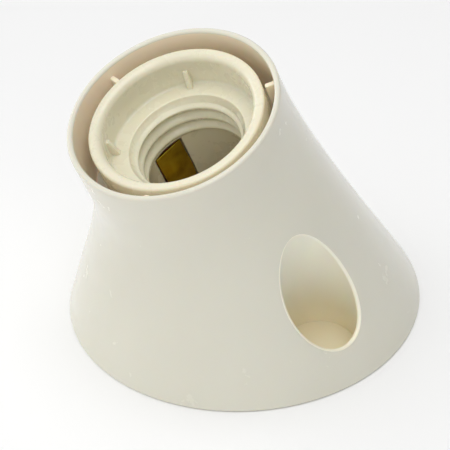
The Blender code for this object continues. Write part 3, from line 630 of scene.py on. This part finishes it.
def shell_skin():
    """Both faces of the shell; the inner one takes the second material."""
    wall_scale = COLLAR_WALL / BASE_WALL
    rings = foot_rings()
    rings += [flare_ring(FLARE_START + (1.0 - FLARE_START) * t, 0.0) for t in spaced(OUTER_ROWS)]
    rings += [collar_ring(radius, height) for radius, height in rim_profile()]
    outside = (len(rings) - 1) * SHELL_COLUMNS
    for i in range(INNER_ROWS + 1):
        rings.append(flare_ring(1.0 - i / INNER_ROWS, BASE_WALL, wall_scale))
    bm = ring_grid(rings, closed=True)
    bm.faces.ensure_lookup_table()
    for face in bm.faces[outside:outside + (INNER_ROWS + 1) * SHELL_COLUMNS]:
        face.material_index = 1
    return bm


def skin_limit():
    """Solid just under the outer skin, for trimming inner features."""
    rings = [flare_ring(i / INNER_ROWS, SKIN_INSET) for i in range(INNER_ROWS + 1)]
    rings[0] = [point + Vector((0.0, 0.0, GAP)) for point in rings[0]]
    rings.append(collar_ring(COLLAR_RADIUS - SKIN_INSET, -2 * RIM_ROUNDING))
    return ring_grid(rings)


def limited(name, bm, in_lamp_frame):
    """Inner feature cut off at the skin limit, ready to be joined."""
    obj = new_object(name, bm, "cream_inside_painted_light_and_shade", in_lamp_frame)
    limit = new_object(name + "_limit", skin_limit(), "cream_inside_painted_light_and_shade", in_lamp_frame=False)
    combine(obj, [(limit, "INTERSECT")])
    return obj


def well_ring(side, radius, height):
    """Level section of a well: an ellipse, as a slanting round bore gives."""
    lean = Vector((cos(WELL_LEAN_ANGLE), sin(WELL_LEAN_ANGLE)))
    across = Vector((-lean.y, lean.x))
    drift = (max(height, WELL_BEND) - WELL_CENTRE.z) * tan(LAMP_TILT)
    centre = WELL_CENTRE.xy + drift * lean
    ring = []
    for angle in angles_round(WELL_SIDES):
        along = radius / cos(LAMP_TILT) * cos(angle)
        point = centre + along * lean + radius * sin(angle) * across
        ring.append(Vector((side * point.x, point.y, height)))
    return ring


def mean_over(values, reach):
    """Each value of a closed loop averaged with its neighbours."""
    count = len(values)
    smooth = []
    for i in range(count):
        near = [values[(i + k) % count] for k in range(-reach, reach + 1)]
        smooth.append(sum(near, Vector()) / len(near))
    return smooth


def well_bore(side, skin):
    """Bore of one well, flaring at its mouth into a rounded lip on the skin."""
    low = well_ring(side, WELL_RADIUS, WELL_BEND)
    high = well_ring(side, WELL_RADIUS, WELL_TOP)
    axis = (high[0] - low[0]).normalized()
    centre = sum(low, Vector()) / len(low)
    edge, normals = [], []
    for end in high:
        place, normal, _, _ = skin.ray_cast(end, -axis)
        edge.append(place)
        normals.append(normal)
    normals = [normal.normalized() for normal in mean_over(normals, LIP_SMOOTHING)]
    rings = [well_ring(side, WELL_RADIUS, WELL_FLOOR), low]
    lips = [[] for _ in range(LIP_STEPS + 2)]
    for place, skin_normal in zip(edge, normals):
        spoke = place - centre
        inward = -(spoke - spoke.dot(axis) * axis).normalized()
        pull = WELL_LIP / (1.0 + skin_normal.dot(inward))
        middle = place - pull * (skin_normal + inward)
        for i in range(LIP_STEPS + 1):
            share = LIP_TURN_SHARE * i / LIP_STEPS
            out = inward.slerp(skin_normal, share)
            lips[i].append(middle + WELL_LIP * out)
        onward = (lips[LIP_STEPS][-1] - lips[LIP_STEPS - 1][-1]).normalized()
        lips[-1].append(lips[LIP_STEPS][-1] + LIP_RUN_ON * onward)
    rings += lips
    bm = bmesh.new()
    rows = [[bm.verts.new(point) for point in ring] for ring in rings]
    for lower, upper in zip(rows, rows[1:]):
        for i in range(len(lower)):
            j = (i + 1) % len(lower)
            bm.faces.new((lower[i], lower[j], upper[j], upper[i]))
    bm.faces.new(rows[0])
    across, along, up = BORE_TIP_WAY
    mouth = sum(lips[-1], Vector()) / len(lips[-1])
    tip = bm.verts.new(mouth + BORE_TIP_REACH * Vector((side * across, along, up)).normalized())
    for i in range(len(rows[-1])):
        bm.faces.new((rows[-1][i], rows[-1][(i + 1) % len(rows[-1])], tip))
    return bm


def slot_column(side):
    end = (SLOT_LENGTH - SLOT_WIDTH) / 2
    half = SLOT_WIDTH / 2
    outline = arc((end, 0.0), half, -90, 90, SLOT_STEPS)
    outline += arc((-end, 0.0), half, 90, 270, SLOT_STEPS)
    points = [(side * SLOT_CENTRE[0] + x, SLOT_CENTRE[1] + y, -BASE_WALL) for x, y in outline]
    return prism(points, (0.0, 0.0, WELL_FLOOR + 2 * BASE_WALL))


def collar_rib(angle):
    bm = soften(box((COLLAR_RIB_INNER, -COLLAR_RIB_WIDTH / 2, SEAT_TOP - SEAT_THICKNESS / 2),
                    (COLLAR_RADIUS - COLLAR_WALL / 2, COLLAR_RIB_WIDTH / 2, COLLAR_RIB_TOP)),
                COLLAR_RIB_ROUNDING)
    bmesh.ops.rotate(bm, verts=bm.verts[:], matrix=Matrix.Rotation(radians(angle), 3, "Z"))
    return bm


def make_shell():
    shell = new_object("shell_moulding", shell_skin(), "cream_plastic", False, "cream_inside_painted_light_and_shade")
    skin = BVHTree.FromObject(shell, bpy.context.evaluated_depsgraph_get())
    seat = cylinder(SEAT_DISC_RADIUS, SEAT_TOP - SEAT_THICKNESS, SEAT_TOP, sides=SHELL_COLUMNS)
    joined = [limited("seat", seat, True)]
    for index, angle in enumerate(COLLAR_RIB_ANGLES):
        joined.append(new_object(f"collar_rib_{index}", collar_rib(angle), "cream_inside_painted_light_and_shade"))
    cuts = []
    for side in (-1, 1):
        heights = (-BASE_WALL, WELL_BEND, WELL_TOP)
        column = ring_grid([well_ring(side, WELL_RADIUS + WELL_WALL, z) for z in heights])
        joined.append(limited(f"well_{side}", column, False))
        cuts.append(new_object(f"bore_{side}", well_bore(side, skin), "cream_inside_painted_light_and_shade", False))
        cuts.append(new_object(f"slot_{side}", slot_column(side), "cream_inside_painted_light_and_shade", False))
    low, high = SEAT_TOP - 2 * SEAT_THICKNESS, SEAT_TOP + SEAT_THICKNESS
    bore = cylinder(SEAT_BORE_RADIUS, low, high, sides=SEAT_BORE_SIDES)
    cuts.append(new_object("seat_bore", bore, "cream_inside_painted_light_and_shade"))
    for sign in (-1, 1):
        notch = cylinder(PILLAR_NOTCH_RADIUS, low, high, (0.0, sign * PILLAR_OFFSET))
        cuts.append(new_object(f"notch_{sign}", notch, "cream_inside_painted_light_and_shade"))
        hole = cylinder(SEAT_SCREW_HOLE_RADIUS + GAP, low, high, (sign * PILLAR_OFFSET, 0.0))
        cuts.append(new_object(f"hole_{sign}", hole, "cream_inside_painted_light_and_shade"))
    combine(shell, [(tool, "UNION") for tool in joined] + [(tool, "DIFFERENCE") for tool in cuts])
    clean(shell)
    shade(shell)
    declare(shell, "fixture", "cream_plastic", "outer_shell")


# ---------------------------------------------------------------- thread barrel

def thread_radius(angle, depth):
    """Edison thread: rounded, right-handed, faded into plain walls at its ends."""
    turns = (depth - THREAD_CREST_DEPTH) / THREAD_PITCH - (angle - THREAD_CREST_ANGLE) / tau
    wave = (1.0 + cos(tau * turns)) / 2
    run_out = THREAD_RUN_OUT * THREAD_PITCH
    fade_in = min(1.0, max(0.0, (THREAD_START - depth) / run_out))
    fade_out = min(1.0, max(0.0, (depth - THREAD_END) / run_out))
    ease = sin(pi / 2 * fade_in) * sin(pi / 2 * fade_out)
    return THREAD_ROOT - (THREAD_ROOT - THREAD_CREST) * wave * ease


def barrel_rings():
    top_out = (RING_OUTER - RING_OUTER_ROUNDING, RING_TOP - RING_OUTER_ROUNDING)
    top_in = (RING_INNER + RING_INNER_ROUNDING, RING_TOP - RING_INNER_ROUNDING)
    ledge = (RING_INNER - LEDGE_FILLET, LEDGE_DEPTH + LEDGE_FILLET)
    mouth = (THREAD_MOUTH_RADIUS + MOUTH_ROUNDING, LEDGE_DEPTH - MOUTH_ROUNDING)
    plain = [(BORE_RADIUS, BARREL_BOTTOM), (TUBE_OUTER, BARREL_BOTTOM)]
    plain += [(TUBE_OUTER, SEAT_TOP + GAP), (RING_OUTER, SEAT_TOP + GAP)]
    plain += arc(top_out, RING_OUTER_ROUNDING, 0, 90, RING_OUTER_STEPS)
    plain += arc(top_in, RING_INNER_ROUNDING, 90, 180, RING_INNER_STEPS)
    plain += arc(ledge, LEDGE_FILLET, 0, -90, LEDGE_STEPS)
    plain += arc(mouth, MOUTH_ROUNDING, 90, 180, MOUTH_STEPS)
    angles = angles_round(BARREL_COLUMNS)
    rings = []
    for radius, depth in plain:
        rings.append([(radius * cos(a), radius * sin(a), depth) for a in angles])
    for row in range(THREAD_ROWS + 1):
        depth = THREAD_START + (THREAD_END - THREAD_START) * row / THREAD_ROWS
        ring = []
        for angle in angles:
            radius = thread_radius(angle, depth)
            ring.append((radius * cos(angle), radius * sin(angle), depth))
        rings.append(ring)
    return rings


def recess_rib(angle):
    half = RECESS_RIB_WIDTH / 2
    inner, outer = RING_INNER - RECESS_RIB_REACH, (RING_INNER + RING_OUTER) / 2
    foot = LEDGE_DEPTH - LEDGE_FILLET
    outline = [(inner, -half, foot), (outer, -half, foot), (outer, -half, RECESS_RIB_TOP),
               (RING_INNER - RECESS_RIB_TOP_REACH, -half, RECESS_RIB_TOP)]
    bm = soften(prism(outline, (0.0, RECESS_RIB_WIDTH, 0.0)), RECESS_RIB_ROUNDING)
    bmesh.ops.rotate(bm, verts=bm.verts[:], matrix=Matrix.Rotation(radians(angle), 3, "Z"))
    return bm


def make_barrel():
    barrel = new_object("barrel_moulding", ring_grid(barrel_rings(), closed=True), "cream_insert")
    tools = []
    for index, angle in enumerate(RECESS_RIB_ANGLES):
        tools.append((new_object(f"recess_rib_{index}", recess_rib(angle), "cream_insert"), "UNION"))
    for sign in (-1, 1):
        pillar = cylinder(PILLAR_RADIUS, BARREL_BOTTOM, (LEDGE_DEPTH + SEAT_TOP) / 2,
                          (0.0, sign * PILLAR_OFFSET))
        tools.append((new_object(f"pillar_{sign}", pillar, "cream_insert"), "UNION"))
    for sign in (-1, 1):
        hole = cylinder(PILLAR_HOLE_RADIUS, BARREL_BOTTOM - PILLAR_RADIUS, PILLAR_HOLE_TOP,
                        (0.0, sign * PILLAR_OFFSET))
        tools.append((new_object(f"pillar_hole_{sign}", hole, "cream_insert"), "DIFFERENCE"))
        hole = cylinder(SEAT_SCREW_HOLE_RADIUS, SEAT_TOP - PILLAR_RADIUS, SEAT_SCREW_HOLE_TOP,
                        (sign * PILLAR_OFFSET, 0.0))
        tools.append((new_object(f"ring_hole_{sign}", hole, "cream_insert"), "DIFFERENCE"))
    window = box((-TUBE_OUTER - BASE_WALL, -WINDOW_HALF_WIDTH, BARREL_BOTTOM - BASE_WALL),
                 (WINDOW_INNER_X, WINDOW_HALF_WIDTH, WINDOW_TOP))
    tools.append((new_object("window", window, "cream_insert"), "DIFFERENCE"))
    combine(barrel, tools)
    clean(barrel)
    shade(barrel)
    declare(barrel, "fixture", "cream_insert", "thread_barrel")


# ---------------------------------------------------------------- refined CAD pieces

def refined(node, name, body, slot, width):
    """Copy of a CAD node with its flat faces merged and its edges rounded."""
    bm = bmesh.new()
    bm.from_mesh(frame["nodes"][node].data)
    bmesh.ops.remove_doubles(bm, verts=bm.verts[:], dist=CAD_MERGE)
    bmesh.ops.dissolve_limit(bm, angle_limit=FLAT_BELOW, verts=bm.verts[:], edges=bm.edges[:])
    obj = new_object(name, bm, slot, in_lamp_frame=False)
    modifier = obj.modifiers.new("rounding", "BEVEL")
    modifier.width = width
    modifier.segments = ROUNDING_SEGMENTS
    modifier.limit_method = "ANGLE"
    modifier.angle_limit = ROUNDED_ABOVE
    apply_modifiers(obj)
    shade(obj)
    declare(obj, body, slot, node)


def make_refined():
    refined("contact_block", "block_moulding", "fixture", "tan_moulding", BLOCK_ROUNDING)
    refined("centre_contact", "centre_leaf_spring", "centre_leaf", "contact_brass", LEAF_ROUNDING)
    refined("side_contact", "side_leaf_spring", "side_leaf", "contact_brass", LEAF_ROUNDING)
    for name in ("live", "neutral", "loop"):
        refined(f"{name}_plate", f"{name}_terminal_plate", "fixture", "terminal_brass", PLATE_ROUNDING)
        refined(f"{name}_clamp_washer", f"{name}_lipped_washer", f"{name}_clamp",
                "plated_steel", SMALL_ROUNDING)
    for name in ("centre_contact", "side_contact", "loop_plate"):
        refined(f"{name}_rivet", f"{name}_rivet_formed", "fixture", "terminal_brass",
                SMALL_ROUNDING)


# ---------------------------------------------------------------- screws

def screw_piece(node, name, body, head, shank):
    """Slotted pan-head screw as high as its CAD node, pointing up the lamp axis."""
    points = [INTO_LAMP_FRAME @ v.co for v in frame["nodes"][node].data.vertices]
    low, high = min(p.z for p in points), max(p.z for p in points)
    centre_x = (min(p.x for p in points) + max(p.x for p in points)) / 2
    centre_y = (min(p.y for p in points) + max(p.y for p in points)) / 2
    face = low + SCREW_HEAD_HEIGHT
    profile = []
    for angle in SCREW_DOME_ANGLES:
        rise = SCREW_HEAD_HEIGHT * sin(radians(angle)) ** SCREW_DOME_FLATNESS
        profile.append((head * cos(radians(angle)), face - rise))
    profile += [(head, face - SCREW_HEAD_EDGE), (head - SCREW_HEAD_EDGE, face), (shank, face)]
    turns = int((high - face) / SCREW_THREAD_PITCH) - 1
    for i in range(turns):
        crest = face + SCREW_THREAD_PITCH * (i + 0.5)
        profile.append((shank * SCREW_CREST_SHARE, crest))
        profile.append((shank * SCREW_ROOT_SHARE, crest + SCREW_THREAD_PITCH / 2))
    profile.append((shank * SCREW_END_SHARE, high - SCREW_THREAD_PITCH))
    profile.append((shank * SCREW_TIP_SHARE, high))
    bm = turned(profile, sides=SCREW_SIDES)
    bmesh.ops.translate(bm, verts=bm.verts[:], vec=(centre_x, centre_y, 0.0))
    screw = new_object(name, bm, "plated_steel")
    reach, half = SCREW_SLOT_REACH * head, SCREW_SLOT_WIDTH / 2
    slot = box((centre_x - reach, centre_y - half, low - SCREW_SLOT_DEPTH),
               (centre_x + reach, centre_y + half, low + SCREW_SLOT_DEPTH))
    combine(screw, [(new_object(name + "_slot", slot, "plated_steel"), "DIFFERENCE")])
    shade(screw, 30.0)
    declare(screw, body, "plated_steel", node)


def make_screws():
    for name in ("live", "neutral", "loop"):
        screw_piece(f"{name}_screw", f"{name}_terminal_screw", f"{name}_fastener", *TERMINAL_SCREW)
    for side in ("left", "right"):
        screw_piece(f"barrel_screw_{side}", f"barrel_fixing_{side}", "fixture", *BARREL_SCREW)
    for side in ("front", "rear"):
        screw_piece(f"block_screw_{side}", f"block_fixing_{side}", "fixture", *BLOCK_SCREW)


# ---------------------------------------------------------------- floor

def make_floor():
    nodes = Nodes("pale_floor")
    tone = nodes.noise(3.0, detail=2.0)
    nodes.link(nodes.colours(tone, ((0.0, (0.955, 0.955, 0.955)), (1.0, (0.97, 0.97, 0.97)))),
               nodes.shader.inputs["Base Color"])
    nodes.shader.inputs["Roughness"].default_value = 0.75
    bm = bmesh.new()
    bmesh.ops.create_grid(bm, x_segments=FLOOR_GRID, y_segments=FLOOR_GRID, size=FLOOR_HALF_SIZE)
    mesh = bpy.data.meshes.new("floor")
    bm.to_mesh(mesh)
    bm.free()
    mesh.materials.append(nodes.material)
    floor = bpy.data.objects.new("floor", mesh)
    bpy.context.scene.collection.objects.link(floor)
    floor.location.z = -FLOOR_DROP


bpy.context.scene.view_settings.view_transform = "Standard"
make_camera()
make_lights()
make_world()
make_floor()
make_shell()
make_barrel()
make_refined()
make_screws()

bpy.context.view_layer.update()
